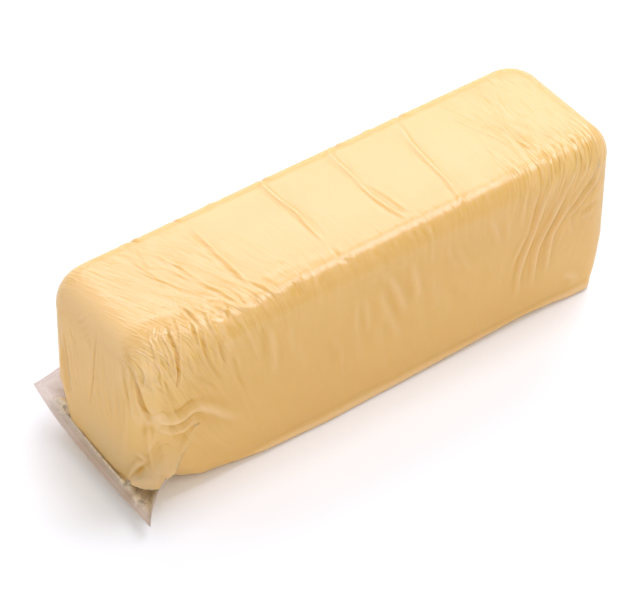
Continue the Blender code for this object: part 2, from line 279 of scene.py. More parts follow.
def route(points, samples=ROUTE_SAMPLES):
    """A smooth curve through the points, by Catmull-Rom spans between them."""
    points = np.asarray(points, float)
    padded = np.vstack([2 * points[0] - points[1], points, 2 * points[-1] - points[-2]])
    spans = len(points) - 1
    place = np.linspace(0.0, spans, samples)
    first = np.minimum(place.astype(int), spans - 1)
    t = (place - first)[:, None]
    a, b, c, d = (padded[first + k] for k in range(4))
    return 0.5 * (2 * b + (c - a) * t + (2 * a - 5 * b + 4 * c - d) * t**2 + (3 * b - a - 3 * c + d) * t**3)


def fold(points, width, height, groove=0.0, lean=1.0):
    """One fold as a dictionary: the route of its crest, half width, height (below 0 for a crease), depth of
    the grooves beside it as a share of the height, and how much steeper its right side is."""
    return {"crest": route(points), "width": width, "height": height, "groove": groove, "lean": lean}


def fan(first, last, count, width, height, seed, groove=0.5):
    """Folds spread evenly from the first route to the last, each a little out of place, of its own
    width, height and length; some are creases."""
    pick = np.random.default_rng(seed)
    first, last = route(first, FAN_SAMPLES + 1), route(last, FAN_SAMPLES + 1)
    made = []
    for share in (np.arange(count) + 0.5) / count:
        bow, wave = pick.normal(0.0, 0.35 / count, 2)
        start, stop = pick.uniform(0.0, 0.35), pick.uniform(0.65, 1.0)
        place = np.linspace(start, stop, 6)
        moved = share + bow + 0.5 * wave * np.sin(place * 7.0 + pick.uniform(0.0, 6.0))
        index = np.round(place * FAN_SAMPLES).astype(int)
        kept = first[index] + (last[index] - first[index]) * moved[:, None]
        wide = width * pick.uniform(0.7, 1.35)
        high = height * pick.uniform(0.4, 1.4) * pick.choice((1, 1, -0.8))
        made.append(fold(kept, wide, high, groove, pick.choice((0.7, 1.0, 1.5))))
    return made


def relief(points, normals, folds):
    """Height that the folds add at each point.

    Each crest is first laid on the surface. With s the distance across a fold, it is
    height * exp(-(s/width)^2), less a groove of the same form on each side, and both die away towards the
    fold's ends."""
    added = np.zeros(len(points))
    for f in folds:
        crest, width = f["crest"], f["width"]
        margin = FOLD_REACH * width
        near = (points > crest.min(axis=0) - margin) & (points < crest.max(axis=0) + margin)
        near = np.flatnonzero(near.all(axis=1))
        if not len(near):
            continue
        spot = points[near]
        gaps = ((spot[:, None, :] - crest[None, :, :]) ** 2).sum(axis=2)
        under = near[gaps.argmin(axis=0)]
        lift = np.einsum("ij,ij->i", crest - points[under], normals[under])
        crest = crest - normals[under] * lift[:, None]
        closest = ((spot[:, None, :] - crest[None, :, :]) ** 2).sum(axis=2).argmin(axis=1)
        tangent = np.gradient(crest, axis=0)
        spacing = np.maximum(np.linalg.norm(tangent, axis=1), 1e-6)
        tangent = tangent / spacing[:, None]
        offset = spot - crest[closest]
        distance = np.einsum("ij,ij->i", np.cross(tangent[closest], normals[near]), offset)
        across = np.where(distance > 0, distance * f["lean"], distance / f["lean"]) / width
        past = np.einsum("ij,ij->i", tangent[closest], offset) / spacing[closest]
        place = (closest + past) / (len(crest) - 1)
        ends = smooth_step(0.0, BEND, place) * smooth_step(0.0, BEND, 1.0 - place)
        trough = bell(across, GROOVE_AWAY, GROOVE_WIDTH) + bell(across, -GROOVE_AWAY, GROOVE_WIDTH)
        added[near] += f["height"] * ends * (bell(across, 0.0, 1.0) - 0.5 * abs(f["groove"]) * trough)
    return added


# The planes of the top, the shown long wall and the sealed end, as which of x, y and z is fixed, and where.
TOP, WALL, END = (2, 93), (1, -41), (0, -140)


def laid(plane, points):
    """A route's points; one given by two numbers lies on the plane."""
    axis, level = plane
    return tuple(p if len(p) == 3 else (*p[:axis], level, *p[axis:]) for p in points)


def mirrored(points, shift=0.0):
    """The route moved to the hidden long wall, and along it."""
    return tuple((x + shift, -y, z) for x, y, z in points)


def folds_on(plane, rows):
    """Folds from rows of crest, half width, height, groove and lean."""
    return tuple(fold(laid(plane, crest), *rest) for crest, *rest in rows)


def fans_on(plane, rows):
    """Fans from rows of first route, last route, count, half width, height and seed."""
    return tuple(fan(laid(plane, first), laid(plane, last), *rest) for first, last, *rest in rows)


# The top near the sealed end, where the film runs slantwise to the long edge.
SEALED_TOP_FOLDS = folds_on(TOP, (
    (((-69, 30, 92), (-69, 16), (-70, 2), (-70, -12), (-70, -22)), 1.1, -0.27, -0.8),
    (((-60, 24), (-58, 12), (-56, 0), (-53, -11), (-48, -19)), 1.2, 0.18, 0.8),
    (((-54, 23), (-51, 12), (-49, 0), (-45, -15)), 1, 0.135, 0.8),
    (((-96, 29), (-99, 17), (-102, 7)), 0.8, -0.225, -0.6),
    (((-92, 26), (-90, 16), (-87, 6), (-85, -5), (-81, -15), (-79, -23), (-78, -31, 92)), 1.1, 0.315, 0.8),
    (((-90, 18), (-90, 5), (-88, -6), (-86, -14)), 1, 0.135, 0.8),
    (((-102, 26), (-101, 15), (-99, 5), (-94, -7), (-87, -16), (-81, -23), (-79, -30, 92)), 1, 0.27, 0.9),
    (((-114, 3), (-109, -6), (-105, -14), (-100, -19), (-99, -26), (-99, -31, 92)), 1, 0.36, 0.8),
    (((-112, -5), (-108, -11), (-104, -18), (-102, -25)), 0.9, 0.225, 0.8),
    (((-89, -7), (-84, -12), (-81, -20), (-79, -27), (-78, -32, 92), (-74, -35, 91), (-71, -38, 88)), 1.1,
     0.45, 0.8),
    (((-65, -19), (-64, -24), (-61, -29), (-58, -34, 91)), 0.9, 0.27, 0.8),
    (((-67, -19), (-65, -24), (-63, -30, 92), (-63, -33, 92)), 0.9, 0.27, 0.8),
))
# The sealed corner and the long wall beside it.
SEALED_CORNER_FOLDS = folds_on(WALL, (
    (((-132, -16, 90.5), (-134, -20, 88.5), (-136, -24.5, 86), (-137, -28, 83), (-137.5, -31.5, 79.5),
     (-137, -33.5, 72.5), (-136, -34.5, 64.5), (-135, -36, 59), (-133, -37.5, 53)), 0.62, -0.75, -0.6),
    (((-138.5, -21.5, 83.5), (-139, -25, 81.5), (-139.5, -27, 76), (-139.5, -28.5, 68.5), (-139, -29.5, 60.5),
     (-138.5, -30, 54.5)), 0.55, -0.45, -0.7),
    (((-137, -32, 78.5), (-137, -33.5, 74.5), (-136, -34.5, 68), (-135, -35.5, 62.5), (-134, -37, 57.5),
     (-133, -37.5, 52.5)), 1, -1.2, -0.4),
    (((-138.5, -30.5, 74.5), (-137.5, -32.5, 69), (-137, -33.5, 63), (-136, -34.5, 57.5),
     (-135.5, -35, 51.5)), 0.7, 0.6, 0.4),
    (((-137.5, -30, 81), (-136.5, -32.5, 79.5), (-134.5, -35.5, 77.5), (-133, -37, 75),
     (-131.5, -38.5, 71.5)), 0.6, -0.7, -0.8),
    (((-137.5, -31.5, 78.5), (-135.5, -35, 75), (-132, -38, 69.5)), 0.55, 0.4, 0.2),
    (((-136.5, 7.5, 86), (-136.5, -1, 86.5), (-136.5, -10, 86.5), (-136.5, -17, 86.5), (-137, -25.5, 84.5),
     (-137, -30.5, 81)), 0.6, 0.3, 0.9),
    (((-123.5, -25, 91), (-124, -28.5, 89), (-125, -32.5, 86), (-126, -36, 82.5), (-127, -39.5, 77),
     (-126, -40.5, 68), (-123, 62.5), (-118.5, 58)), 0.7, 0.7, 0.7, 0.8),
    (((-124, -22, 92), (-124.5, -27, 90), (-126, -31.5, 86.5), (-127.5, -36, 82), (-128.5, -39, 76.5)), 0.55,
     0.3, 0.7),
    (((-126.5, -19, 92), (-127.5, -24, 90.5), (-128.5, -29, 87.5), (-130, -33.5, 83), (-131.5, -37.5, 77)),
     0.5, 0.22, 0.7),
    (((-115.5, -21, 92.5), (-115.5, -26.5, 91.5), (-116, -31, 89.5), (-116.5, -34.5, 86.5), (-118, -38, 83),
     (-119, -40.5, 79), (-120, 73.5), (-121.5, 69.5)), 0.75, -1.1, -0.7),
    (((-118, -20, 92.5), (-118.5, -27, 91), (-118.5, -32, 88), (-119, -36.5, 84.5), (-120, -39.5, 80.5),
     (-120, -40.5, 77)), 0.6, 0.6, 0.6),
    (((-107.5, -24.5, 92.5), (-110.5, -29.5, 91), (-113, -33.5, 88), (-115.5, -37, 84.5),
     (-115.5, -39, 82.5)), 0.65, 0.45, 0.6),
    (((-104, -28, 92), (-104.5, -31.5, 91), (-105.5, -34.5, 89), (-105.5, -36.5, 87.5)), 0.7, -0.7, -0.7),
    (((-100.5, -31, 91.5), (-103, -36, 88), (-104, -40.5, 82), (-101.5, 74.5), (-97.5, 65.5), (-94, 59)),
     0.95, -0.75, -0.7),
    (((-113, -38, 84), (-112.5, -40.5, 79.5), (-109.5, 72), (-103.5, 64.5), (-98, 58)), 0.95, -0.6, -0.8),
    (((-116.5, -39, 82.5), (-116, 77), (-113, 70), (-110.5, 64)), 0.8, -0.45, -0.8),
    (((-96, -38.5, 86), (-96, -40.5, 82), (-94.5, 76), (-94, 69)), 1, -0.6, -0.7),
    (((-90.5, 78.5), (-89, 70.5), (-87.5, 63.5), (-85, 55.5), (-82, 48)), 1.1, -0.6, -0.7),
    (((-99.5, -40.5, 82.5), (-96.5, 73), (-92, 61)), 1, 0.35, 0.6),
    (((-120, -16, 92.5), (-121, -25, 91.5), (-121.5, -32, 87.5), (-122.5, -37.5, 82), (-123.5, -40.5, 75)),
     0.55, -0.3, -0.9),
    (((-123, -15, 92.5), (-123.5, -24, 91), (-123.5, -29.5, 88.5)), 0.5, -0.3, -0.9),
    (((-109.5, -21, 92.5), (-111, -27.5, 91.5), (-113.5, -32, 89)), 0.6, -0.45, -0.8),
    (((-112.5, -36.5, 86), (-113, -40, 81), (-111, 76)), 0.7, -0.4, -0.7),
))
# The sealed end.
SEALED_END_FOLDS = folds_on(END, (
    (((-137, -1, 86), (-139.5, -4, 80), (-2.5, 67.5), (-1, 56), (1, 45.5), (3, 35.5)), 0.62, -0.6, -0.8),
    (((-137, 15, 86), (-138.5, 10, 83), (-139.5, 5, 80.5), (0.5, 77), (-0.5, 73)), 0.62, -0.5, -0.8),
    (((-136.5, 12, 86), (-138, 7, 84), (-139, 3, 81.5), (-0.5, 77.5)), 0.55, -0.35, -0.8),
    (((21, 76.5), (17, 73.5), (13.5, 66.5), (10.5, 61.5), (7, 56.5)), 0.7, -0.4, -0.8),
    (((-6, 71), (-12, 63), (-17.5, 57), (-24.5, 54)), 0.8, 0.22, 0.8),
    (((22.5, 69.5), (22, 57), (21, 43.5), (18.5, 32.5)), 1, -0.7, -0.4),
))
# The slack that runs back from the ear.
WALL_FOLDS = folds_on(WALL, (
    (((-133, -37.5, 65.5), (-131.5, -38.5, 61.5), (-129.5, -39.5, 55), (-124.5, 51.5), (-118, 50.5),
     (-113, 52.5), (-108, 51.5), (-101.5, 46.5), (-93, 38), (-83.5, 30)), 2.3, 1.7, 0.7),
    (((-135, -36, 57.5), (-133, -37.5, 53.5), (-129.5, -39.5, 49), (-123, 44.5), (-117.5, 43), (-113, 45),
     (-109, 43.5)), 1.9, 1, 0.6),
    (((-124.5, 57.5), (-119, 55.5), (-114.5, 57.5), (-109, 57)), 1.6, -0.4, -0.4),
    # The middle of the shown wall.
    (((-69, 80), (-67, 67), (-66, 47)), 2.2, 0.585, 0.7),
    (((-58, 74), (-56, 55)), 2.2, 0.39, 0.7),
    (((-19, 71), (-19, 50)), 1.8, 0.455, 0.7),
    (((-16, 72), (-13, 59), (-11, 46)), 1.8, 0.52, 0.7),
    (((-6, 71), (-3, 59), (2, 44), (7, 33)), 2.2, 0.585, 0.7),
    (((0, 76), (5, 63), (9, 49)), 2, 0.585, 0.7),
    (((13, 78), (16, 65), (18, 52)), 2, 0.52, 0.7),
    (((27, -36, 90), (25, -40, 84), (25, 67)), 1, 0.585, 0.7),
    (((-73, -40, 85), (-72, 74), (-71, 61)), 1.8, -0.39, -0.7),
    (((-63, 79), (-45, 77), (-27, 77), (-11, 77), (6, 78), (23, 76)), 1, 0.26, 0.5),
    # The far part of the shown wall: long folds that sweep down from the top edge.
    (((-4, 81), (1, 70), (8, 54), (11, 44)), 2.09, 0.45, 0.7),
    (((12, 75), (16, 62), (18, 50)), 1.9, 0.4, 0.7),
    (((33, 76), (38, 65), (42, 56)), 1.9, 0.35, 0.7),
    (((39, 74), (44, 62), (50, 53)), 1.71, 0.45, 0.7),
    (((58, 83), (63, 70), (66, 60)), 1.71, 0.5, 0.7),
    (((70, 77), (71, 61)), 1.71, 0.35, 0.7),
    (((81, -39, 87), (80, 77), (78, 64)), 1.42, 0.5, 0.7),
    (((90, -38, 88), (86, 76), (83, 60), (78, 50), (73, 39)), 1.42, 0.8, 0.7),
    (((97, -40, 85), (92, 73), (87, 58), (82, 45), (79, 34), (78, 18)), 1.52, 1.1, 0.8),
    (((105, -39, 86), (101, 74), (97, 62)), 1.04, 0.5, 0.7),
    (((113, -38, 88), (107, 78), (101, 66), (96, 57), (90, 46), (88, 32), (87, 19)), 1.61, 1.1, 0.8),
    (((118, 75), (111, 66), (103, 57), (99, 51), (97, 40), (96, 20)), 1.61, 1.1, 0.8),
    (((128, -40, 74), (120, 67), (113, 60), (106, 56)), 1.33, 1, 0.8),
    (((115, 55), (121, 56), (128, -40, 57)), 1.42, -0.7, -0.6),
    (((116, 52), (124, 52)), 1.23, 0.5, 0.6),
    (((110, 56), (109, 50), (112, 42)), 1.23, 0.4, 0.6),
    (((106, 18), (112, 16), (117, 9)), 2.38, 0.7, 0.6),
))
# The top near the far end.
TOP_FOLDS = folds_on(TOP, (
    (((102, 29), (103, 20), (103, 12)), 0.9, -0.3, -0.8),
    (((111, 21), (106, 12), (103, 2), (100, -11), (100, -20), (101, -24)), 0.9, 0.3, 0.9),
    (((107, 14), (105, 7), (105, -2), (103, -11), (102, -20)), 0.9, 0.25, 0.9),
    (((96, -1), (95, -9), (96, -17), (98, -23)), 0.9, 0.25, 0.9),
    (((97, 27), (92, 19), (87, 15)), 1, 0.15, 0.9),
    (((93, 12), (87, 2), (81, -10), (80, -20)), 1, 0.2, 0.9),
    (((77, 30, 92), (82, 22), (82, 13), (84, 8)), 1, 0.15, 0.9),
    (((58, 36, 91), (56, 24), (53, 12), (52, 0), (51, -12), (50, -22), (48, -30, 92), (47, -34, 91)), 1.1,
     0.5, 1.1),
    (((54, -23), (49, -30, 92), (46, -35, 91)), 0.9, 0.4, 0.8),
    (((46, 29, 92), (45, 19), (44, 11)), 1, 0.15, 0.9),
    (((101, -26), (100, -31, 92), (101, -35, 91)), 1, -0.6, -0.7),
    (((97, -14), (97, -20), (100, -24)), 0.9, 0.4, 0.8),
    (((123, -22), (118, -32, 92), (115, -38, 88), (109, -41, 81)), 0.9, 0.4, 0.8),
    # Bands across the middle of the top.
    (((-21, 37, 91), (-22, 28), (-22, 17), (-21, 4), (-22, -9), (-22, -21)), 1.1, 0.6, 1.2),
    (((20, 37, 91), (17, 28), (16, 8), (15, -4), (16, -15), (18, -24), (22, -31, 92)), 1.1, 0.6, 1.2),
    (((20, 26), (20, 16), (18, 3), (21, -8), (22, -20), (25, -29)), 1, 0.3, 0.9),
    (((55, 23), (53, 12), (51, 0), (50, -12)), 1, 0.25, 0.9),
    (((47, 29), (47, 20), (46, 13)), 1, 0.15, 0.9),
    (((-57, 23), (-54, 12), (-51, 0), (-49, -12), (-45, -20), (-42, -24)), 1, 0.2, 0.9),
    (((-67, 17), (-67, 8), (-67, -4), (-67, -16), (-68, -22)), 1.1, 0.3, 0.9),
    (((-49, 29, 92), (-41, 22), (-33, 18), (-24, 13)), 0.9, 0.12, 0.9),
    (((-21, 6), (-12, -2), (-4, -10)), 0.9, 0.12, 0.9),
    (((-68, -22), (-63, -25), (-61, -33, 92), (-56, -36, 90)), 1.1, 0.5, 0.8),
    (((-63, -19), (-59, -24), (-51, -24), (-40, -25), (-30, -27), (-21, -27)), 1.2, 0.3, 0.6),
    (((-22, -25), (-23, -32, 92), (-19, -36, 90)), 1, -0.5, -0.8),
))
# The far corner of the sealed end.
FAR_CORNER_FOLDS = folds_on(END, (
    (((25, 62.5), (24, 52.5), (23, 42), (21, 33), (19.5, 29)), 2.4, -0.8, 0.2),
    (((26, 56), (29, 40), (-139.5, 33, 24)), 1, 0.5, 0.3),
))
# The folded edge of the ear and the folds that hang to its tip.
EAR_FOLDS = folds_on(WALL, (
    (EAR_EDGE[:6], 0.9, 0.6, 0, 0.8),
    (((-115.5, 41), (-118, -41.5, 37.5), (-120, -42, 34.5), (-122, -42.5, 31)), 0.8, -0.5, 0),
    (((-134, -36.5, 57.5), (-134, -37, 47), (-133.5, -36.5, 35.5), (-132.5, -36.5, 25), (-132.5, -38, 19.5)),
     0.9, 0.6, 0.7),
    (((-131.5, -38.5, 47.5), (-130.5, -38.5, 38), (-129.5, -39, 28.5), (-130.5, -40, 22)), 1.5, -0.3, -0.5),
    (((-138.5, -30, 32.5), (-136.5, -33, 30.5), (-134.5, -34.5, 27), (-136, -32, 23.5), (-137, -29, 18.5),
     (-138, -26.5, 12.5), (-139.5, -26.5, 9.5)), 1.1, 1, 0.5),
    (((-135, -33, 22.5), (-136, -31.5, 17), (-137, -31.5, 13)), 1.9, -0.8, 0),
))
# The long top edge near the sealed corner: pale ridges round shallow pockets.
TOP_EDGE_FOLDS = folds_on(TOP, (
    (((-124.5, -13, 92.5), (-117, -15.5, 92.5), (-112.5, -17), (-107.5, -19), (-103.5, -20.5), (-98, -19.5)),
     1.3, 0.45, 0.4),
    (((-107.5, -11.5), (-103.5, -17), (-101.5, -22, 92.5), (-101.5, -27, 92.5), (-101.5, -31, 91.5)), 0.8,
     -0.6, -0.8),
    (((-95.5, -19), (-90, -19.5), (-84.5, -22.5, 92.5), (-82, -27.5, 92.5), (-79.5, -32, 92),
     (-76, -35, 90.5), (-73.5, -37, 89)), 1, 0.65, 0.6),
    (((-89, -20.5, 92.5), (-93.5, -26, 92.5), (-96, -32.5, 91.5), (-96, -36.5, 88.5), (-94.5, -39.5, 85.5)),
     0.9, 0.75, 0.6),
    (((-76, -33, 91.5), (-75, -29, 92.5), (-71.5, -27.5, 92.5), (-67.5, -28, 92.5)), 0.8, 0.5, 0.6),
    (((-86.5, -28.5, 92.5), (-90, -33.5, 91)), 3.4, -0.8, 0),
    (((-72.5, -32, 92), (-68.5, -31, 92)), 2.6, -0.5, 0),
    (((-82.5, -27.5, 92.5), (-86.5, -31.5, 92), (-88, -35.5, 90)), 0.8, -0.4, -0.6),
    (((-52, -34, 91), (-46, -38, 88)), 3.2, -0.4, 0),
))
SHOWN_FOLDS = (
    SEALED_TOP_FOLDS + SEALED_CORNER_FOLDS + SEALED_END_FOLDS + WALL_FOLDS + TOP_FOLDS + FAR_CORNER_FOLDS
    + EAR_FOLDS + TOP_EDGE_FOLDS
)
# Fans of small wrinkles between the folds.
FANS = fans_on(WALL, (
    (((-116, 24, 93), (-108, 2, 93), (-96, -16, 93), (-86, -32, 92)), ((-74, 32, 93), (-70, 8, 93),
     (-64, -14, 93), (-54, -33, 92)), 22, 0.8, 0.17, 11),
    (((-132, -15, 90.5), (-136, -24.5, 86), (-137.5, -30.5, 79.5), (-137.5, -32.5, 65.5)),
     ((-129, -15.5, 91.5), (-125.5, -30, 87.5), (-126.5, -36.5, 82), (-126.5, -40.5, 71)), 10, 0.45, 0.09,
     12),
    (((-125, -14.5, 92.5), (-122.5, -27.5, 90), (-125, -37, 82), (-125.5, -40.5, 71.5)), ((-114.5, -20, 92.5),
     (-116, -31, 89.5), (-118, -38, 83), (-120.5, 72.5)), 8, 0.5, 0.11, 21),
    (((-111, -19.5, 93), (-113, -31.5, 89.5), (-115.5, -39, 83), (-115.5, 71)), ((-100, -28.5, 92.5),
     (-103, -37, 87), (-102, 77.5), (-94.5, 61)), 9, 0.6, 0.14, 22),
    (((-99.5, -30, 92), (-102.5, -38.5, 86), (-100, 74.5), (-93.5, 61)), ((-77.5, -32.5, 92),
     (-79.5, -40, 85), (-76.5, 71.5), (-71, 53.5)), 13, 1, 0.17, 13),
    (((-136, 30, 88), (-140, 24, 60), (-140, 14, 26)), ((-138, -20, 86), (-140, -24, 60), (-140, -26, 26)),
     14, 0.8, 0.14, 14),
    (((-136, 12, 88), (-140, -4, 70), (-140, -24, 50)), ((-140, 8, 50), (-140, -6, 38), (-140, -26, 24)), 10,
     0.9, 0.14, 20),
    (((88, -24, 93), (86, -39, 86), (80, 68), (74, 50)), ((136, -26, 90), (130, -39, 80), (116, 62),
     (104, 44)), 20, 0.9, 0.26, 15),
    (((98, -12, 93), (97, -32, 91), (95, 80)), ((136, -4, 91), (136, -25, 88), (134, -38, 76)), 28, 0.75, 0.2,
     16),
    (((74, 30, 93), (82, 8, 93), (90, -16, 93), (88, -34, 92)), ((124, 30, 92), (116, 8, 93), (106, -12, 93),
     (104, -32, 92)), 20, 0.8, 0.15, 17),
    (((-54, -22, 93), (-50, -36, 90), (-48, 78)), ((60, -22, 93), (64, -36, 90), (66, 76)), 22, 0.9, 0.16,
     18),
    (((-58, 70), (-52, 50), (-46, 28)), ((66, 60), (70, 40), (70, 22)), 12, 2.4, 0.2, 19),
))
# Nicks where creases of the top run over its back edge.
BACK_EDGE_NICKS = tuple(
    fold(((x + 1, 30, 92.5), (x, 36, 91.5), (x, 39.5, 88), (x - 1, 41, 81)), width, height, -0.6)
    for x, width, height in (
        (-93, 1.4, -0.8), (-69, 1.2, -0.7), (-18, 1.3, -0.9), (25, 1.3, -0.9), (63, 1.6, -0.8),
        (-48, 2.2, 0.4), (44, 2.4, 0.45),
    )
)
# The hidden wall and the hidden end carry folds of the same kinds.
HIDDEN_FOLDS = tuple(
    fold(mirrored(laid(WALL, crest), shift), *rest) for crest, shift, *rest in (
        (((99, -39, 87), (93, 72), (88, 59), (82, 47), (78, 34), (77, 16)), -6, 2, 1, 0.6),
        (((127, -40, 83), (118, 69), (107, 60), (101, 52), (98, 40)), 0, 2, 0.9, 0.6),
        (((-131, -40, 59), (-122, 54), (-112, 53), (-98, 48), (-84, 36)), 0, 3, 1.6, 0.5),
        (((-118, -40, 84), (-119, 77), (-116, 62)), 4, 1.6, 0.9, 0.7),
        (((-93, -40, 84), (-88, 71), (-80, 44)), 7, 1.7, 0.8, 0.7),
        (((-100, -40, 84), (-98, 75), (-90, 58)), -3, 1.6, 0.7, 0.7),
        (((-7, 76), (-2, 60), (5, 41)), 14, 2.4, 0.4, 0.7),
        (((37, 77), (44, 64), (52, 50)), -8, 2.4, 0.4, 0.7),
    )
) + folds_on(TOP, (
    (((140, -24, 84), (140, -20, 60), (136, -14, 36)), 1.8, 0.6, 0.7),
    (((140, 26, 84), (140, 20, 62), (135, 12, 34)), 1.8, 0.6, 0.7),
    (((140, 4, 86), (140, 2, 64), (137, 5, 44)), 1.6, 0.4, 0.7),
))
HIDDEN_FANS = tuple(
    fan(mirrored(laid(WALL, first)), mirrored(laid(WALL, last)), *rest) for first, last, *rest in (
        (((88, -40, 83), (86, 77), (80, 70), (74, 52)), ((130, -38, 82), (124, -40, 76), (114, 62),
         (104, 44)), 11, 1.2, 0.3, 31),
        (((-128, -39.5, 82), (-127, 76), (-124, 68), (-116, 56)), ((-80, -40, 84), (-79, 78), (-76, 70),
         (-68, 46)), 13, 1.3, 0.35, 32),
        (((-57, -40, 84), (-55, 76), (-50, 46)), ((68, -40, 84), (70, 76), (72, 46)), 13, 2, 0.22, 33),
    )
) + fans_on(TOP, (
    (((136, -34, 84), (138, -30, 60), (133, -22, 30)), ((136, 34, 84), (138, 30, 60), (133, 22, 30)), 12, 1.3,
     0.3, 34),
))


def lip(points, normals):
    """Along the foot of each long wall the film is drawn flat: a low swelling with a groove above it, both
    of the form exp(-s^2) in z."""
    z = points[:, 2]
    swelling = LIP_OUT * bell(z, LIP_HEIGHT / 2, LIP_HEIGHT)
    groove = LIP_GROOVE * bell(z, LIP_HEIGHT + LIP_GROOVE_ABOVE, LIP_GROOVE_ABOVE)
    on_wall = np.abs(normals[:, 1]) ** 4 * smooth_step(*LIP_FROM, points[:, 0])
    return (swelling - groove) * on_wall


DRAPE_UNIT = 100.0  # millimetres of film for one unit of the drape
# How far wrinkles run along the loaf for each millimetre across it: on the top near the sealed end, and on
# the walls near both ends.
SLANT_TOP, SLANT_SEALED, SLANT_FAR = 0.45, 0.42, -0.36
FLAT_HALF = 34.0  # half the width of the level part of the top


def drape_of(skin):
    """Where each point lies on the film, as places across, along and between its fine wrinkles.

    On the long walls and the top, across is x, and along is the way from the middle of the top down to the
    foot; round the ends, across goes on along the outline. Across is less a slant times the depth below the
    top, and near the sealed end more a slant times y, so that wrinkles run straight down in the middle of the
    loaf and slantwise at its ends."""
    ring = skin[BASE_ROWS + BASE_EDGE_ROWS + WALL_ROWS // 2]
    half = len(ring) // 2
    steps = np.linalg.norm(np.diff(ring[:half + 1], axis=0), axis=1)
    way = np.concatenate([[0.0], np.cumsum(steps)])
    way = way[-1] / 2 - way
    round_way = np.concatenate([way, way[1:-1][::-1]])[None, :]
    x, y, z = skin[..., 0], skin[..., 1], skin[..., 2]
    on_top = smooth_step(HEIGHT - 13.0, HEIGHT - 0.5, z)
    across = round_way + (x - round_way) * on_top
    down = np.maximum(HEIGHT - z, 0.0)
    along = FLAT_HALF + down + (np.minimum(np.abs(y), FLAT_HALF) - FLAT_HALF) * on_top
    slant = SLANT_SEALED * smooth_step(-20, -85, x) * smooth_step(-140, -126, x)
    slant = slant + SLANT_FAR * smooth_step(40, 95, x) * smooth_step(140, 122, x)
    across = across - slant * down + SLANT_TOP * smooth_step(-20, -85, x) * np.clip(y, -FLAT_HALF, FLAT_HALF)
    return np.stack([across, along, y * 3.0], axis=2).reshape(-1, 3) / DRAPE_UNIT


def slackness(points):
    """How wrinkled the film is at each point, from 0 to 1.

    A little everywhere, more towards both ends, most of all near the long top edges and at the sealed
    corners; less on the flat of the top, at the middle of the sealed end, along the back edge and in the
    ears. Each of these is a bell or a smooth step of its distance."""
    x, y, z = points[:, 0], np.abs(points[:, 1]), points[:, 2]
    sealed, far = smooth_step(-45, -112, x), smooth_step(60, 112, x)
    at_back = 0.8 * smooth_step(0.0, 20.0, points[:, 1])
    edge = bell(np.hypot(np.maximum(WIDTH / 2 - y, 0), np.maximum(HEIGHT - z, 0)), 4.0, 12.0)
    edge = edge * (1.0 - at_back * smooth_step(60.0, 80.0, z))
    corner = bell(np.hypot(x + 130, y - 34), 0.0, 15.0) * smooth_step(6, 40, z) * smooth_step(93.5, 84.0, z)
    corner = corner * (1.0 - at_back)
    low = smooth_step(5, 60, z)
    flat_top = smooth_step(HEIGHT - 10.0, HEIGHT - 3.0, z)
    flat_top = flat_top * smooth_step(WIDTH / 2 - 10.0, WIDTH / 2 - 20.0, y)
    slack = 0.10 + 0.16 * (sealed + far) * low * (1.0 - 0.6 * flat_top)
    slack = slack + (0.10 + 0.30 * sealed + 0.4 * far) * edge
    calm = 1.0 - 0.75 * smooth_step(-126, -137, x) * smooth_step(34, 20, y)
    ear = bell(x, -126, 12.0) * bell(z, 28, 12.0)
    return np.clip((slack * calm + 0.6 * corner) * (1.0 - 0.8 * ear), 0.0, 1.0)


def gap_shade_share(points):
    """How much painted shade and haze the curd gets, as of film hanging clear of it, from 0 to 1: nearly half
    low at the sealed end, on the shown side, and all of it just above the ear's tip. Each is a product of
    smooth steps or bells."""
    x, y, z = points.T
    low = smooth_step(-112, -134, x) * smooth_step(44, 14, z) * smooth_step(30, -10, y)
    tip = bell(x, -137, 8.0) * bell(y, -38, 8.0) * bell(z, 11, 6.0)
    return np.clip(0.45 * low + 0.75 * tip, 0.0, 1.0)


FILM_GAP = 0.3
SHADE_AND_SHEEN_DEPTH = 1.1  # folds higher or deeper than this get the most painted sheen or painted shade
# Painted light on the lip's swelling, as of bounce from the floor, and painted shade in the groove above it.
LIP_PAINTED_LIGHT, LIP_GROOVE_SHADE = 1.3, 0.3
# Painted sheen on the top edges of the sealed end and the far end.
SEALED_EDGE_SHEEN, FAR_EDGE_SHEEN = 1.1, 0.6


def painted_end_edge_sheen(normals):
    """Painted sheen: how much paler the curd is painted where the film turns over the top edges of the two
    end faces, a share of sin(2 t), with t the tilt of the surface away from level."""
    over = np.clip(2.0 * normals[:, 0] * normals[:, 2], -1.0, 1.0)
    return SEALED_EDGE_SHEEN * np.clip(-over, 0.0, 1.0) + FAR_EDGE_SHEEN * np.clip(over, 0.0, 1.0)


